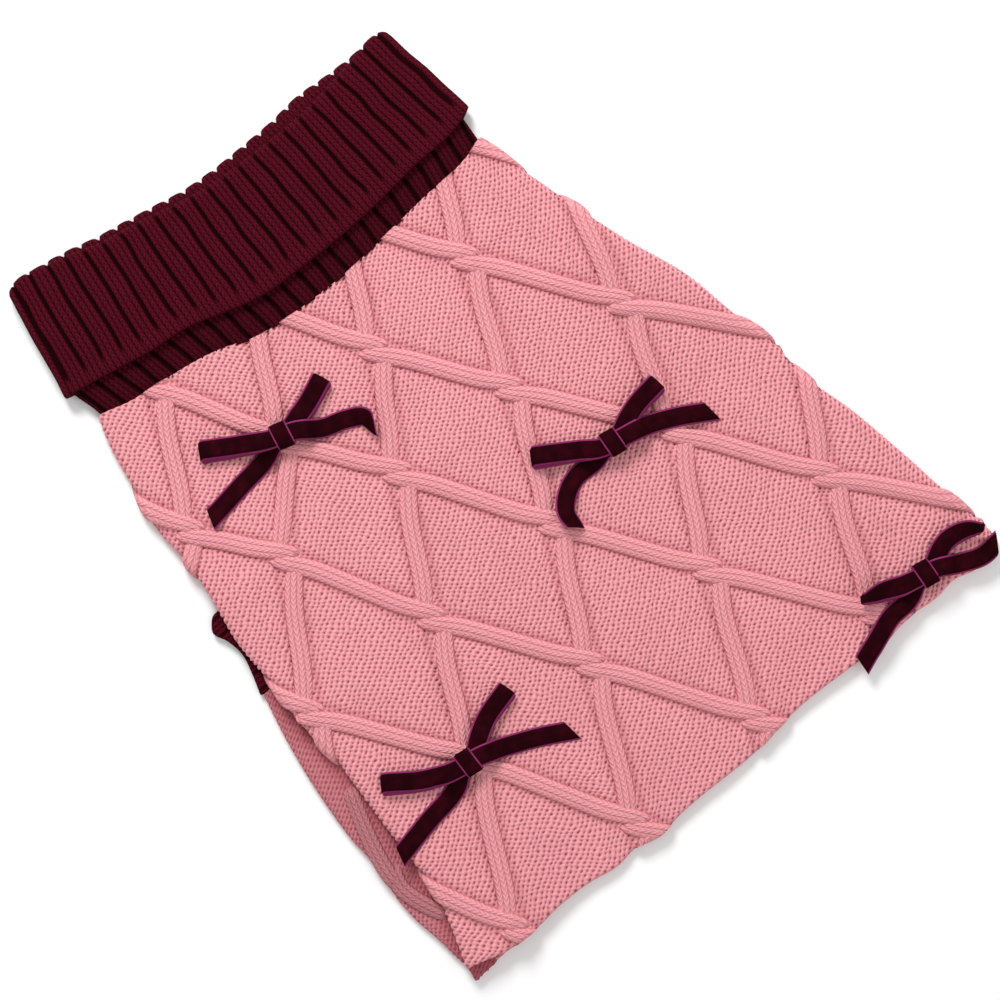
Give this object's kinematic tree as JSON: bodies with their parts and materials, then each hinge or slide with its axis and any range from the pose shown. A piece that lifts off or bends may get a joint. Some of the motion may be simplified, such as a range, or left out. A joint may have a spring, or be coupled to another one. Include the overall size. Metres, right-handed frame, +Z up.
{
  "type": "dog sweater",
  "caption": "Cable-knit dog sweater lying flat, with a turned-down ribbed collar, ribbed leg cuffs and velvet ribbon bows.",
  "frame": {"origin": "middle of the garment's footprint, on the surface that it lies on", "axes": "+Z up from the surface, +Y from the hem to the neck, +X to the right across the back panel seen from above with the neck at the top"},
  "size_m": [0.315, 0.3965, 0.0163],
  "materials": {
    "pink_knit": "matt acrylic cable knit",
    "burgundy_knit": "matt acrylic rib knit",
    "velvet_ribbon": "short velvet pile with a woven purple edge"
  },
  "bodies": {
    "root": {"back_panel": "pink_knit", "belly_panel": "pink_knit", "collar": "burgundy_knit", "leg_cuff_left": "burgundy_knit", "leg_cuff_right": "burgundy_knit", "bow_1_loops": "velvet_ribbon", "bow_1_tails": "velvet_ribbon", "bow_1_knot": "velvet_ribbon", "bow_2_loops": "velvet_ribbon", "bow_2_tails": "velvet_ribbon", "bow_2_knot": "velvet_ribbon", "bow_3_loops": "velvet_ribbon", "bow_3_tails": "velvet_ribbon", "bow_3_knot": "velvet_ribbon", "bow_4_loops": "velvet_ribbon", "bow_4_tails": "velvet_ribbon", "bow_4_knot": "velvet_ribbon"}
  },
  "joints": []
}
